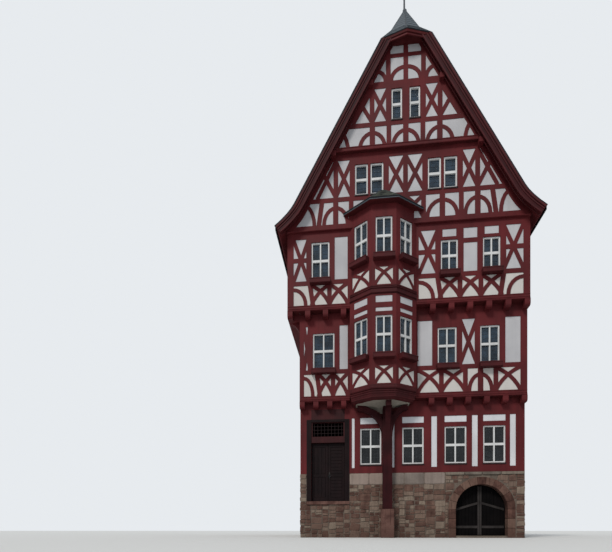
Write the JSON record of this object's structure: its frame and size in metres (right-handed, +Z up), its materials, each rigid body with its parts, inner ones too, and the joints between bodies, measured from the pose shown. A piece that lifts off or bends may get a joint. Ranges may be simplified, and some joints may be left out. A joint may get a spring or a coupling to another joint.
{
  "type": "half-timbered town house",
  "caption": "Tall half-timbered gabled town house on a masonry plinth, with jettied storeys, a two-storey oriel, steep slate roof, entrance doors and an arched cellar gate.",
  "frame": {"origin": "on the base plane, under the gable's axis, halfway between the ground floor's front and the back wall", "axes": "+Z up, the front faces -Y, +X to the right seen from the front"},
  "size_m": [9.78, 12.62, 21.11],
  "materials": {
    "timber": "ox-blood red oil paint on oak, matt",
    "plaster": "limewashed lime plaster",
    "sandstone": "dressed red sandstone",
    "rubble_masonry": "sandstone rubble with wide mortar joints",
    "slate": "natural dark slate",
    "glass": "clear glass",
    "white_wood": "white painted wood",
    "door_wood": "dark stained oak",
    "floor_wood": "oak boards",
    "roof_metal": "weathered sheet metal"
  },
  "bodies": {
    "house": {"cellar_floor": "rubble_masonry", "plinth_front_base": "rubble_masonry", "plinth_door_pier": "rubble_masonry", "plinth_front_middle": "rubble_masonry", "plinth_arch": "rubble_masonry", "arch_ring": "sandstone", "plinth_sides": "rubble_masonry", "plinth_rear": "rubble_masonry", "cellar_cross_wall": "rubble_masonry", "hall_floor": "sandstone", "parlour_floor": "floor_wood", "entrance_posts": "timber", "entrance_lintel": "timber", "entrance_grille": "door_wood", "front_frame_ground": "timber", "front_infill_ground": "plaster", "floor_first": "timber", "front_frame_first": "timber", "front_infill_first": "plaster", "floor_second": "timber", "front_frame_second": "timber", "front_infill_second": "plaster", "floor_attic": "timber", "gable_frame_lower": "timber", "gable_infill_lower": "plaster", "floor_loft": "timber", "gable_frame_upper": "timber", "gable_infill_upper": "plaster", "left_frame": "timber", "left_infill": "plaster", "right_frame": "timber", "right_infill": "plaster", "rear_frame": "timber", "rear_infill": "plaster", "oriel_pedestal": "sandstone", "oriel_bearer": "timber", "oriel_cove": "plaster", "oriel_corbel": "timber", "oriel_posts": "timber", "oriel_band": "timber", "oriel_faces": "timber", "oriel_infill": "plaster", "oriel_roof": "slate", "windows_front": "white_wood", "windows_sides": "white_wood", "windows_rear": "white_wood", "window_glass": "glass", "roof_deck_left": "timber", "roof_deck_right": "timber", "slates": "slate", "bargeboards": "timber", "hip_roof": "slate", "hip_soffit": "timber", "purlins": "timber", "finial": "roof_metal", "window_boxes": "timber"},
    "cellar_leaf_left": {"cellar_leaf_left": "door_wood"},
    "cellar_leaf_right": {"cellar_leaf_right": "door_wood"},
    "entrance_leaf_left": {"entrance_leaf_left": "door_wood"},
    "entrance_leaf_right": {"entrance_leaf_right": "door_wood"}
  },
  "joints": [
    {"name": "entrance_left_hinge", "type": "hinge", "parent": "house", "child": "entrance_leaf_left", "pos_m": [-3.589, -5.32, 2.59], "axis": [0, 0, 1], "range_deg": [0, 90]},
    {"name": "entrance_right_hinge", "type": "hinge", "parent": "house", "child": "entrance_leaf_right", "pos_m": [-2.281, -5.32, 2.59], "axis": [0, 0, -1], "range_deg": [0, 90]},
    {"name": "cellar_left_hinge", "type": "hinge", "parent": "house", "child": "cellar_leaf_left", "pos_m": [1.93, -5.1, 1], "axis": [0, 0, 1], "range_deg": [0, 90]},
    {"name": "cellar_right_hinge", "type": "hinge", "parent": "house", "child": "cellar_leaf_right", "pos_m": [3.89, -5.1, 1], "axis": [0, 0, -1], "range_deg": [0, 90]}
  ]
}
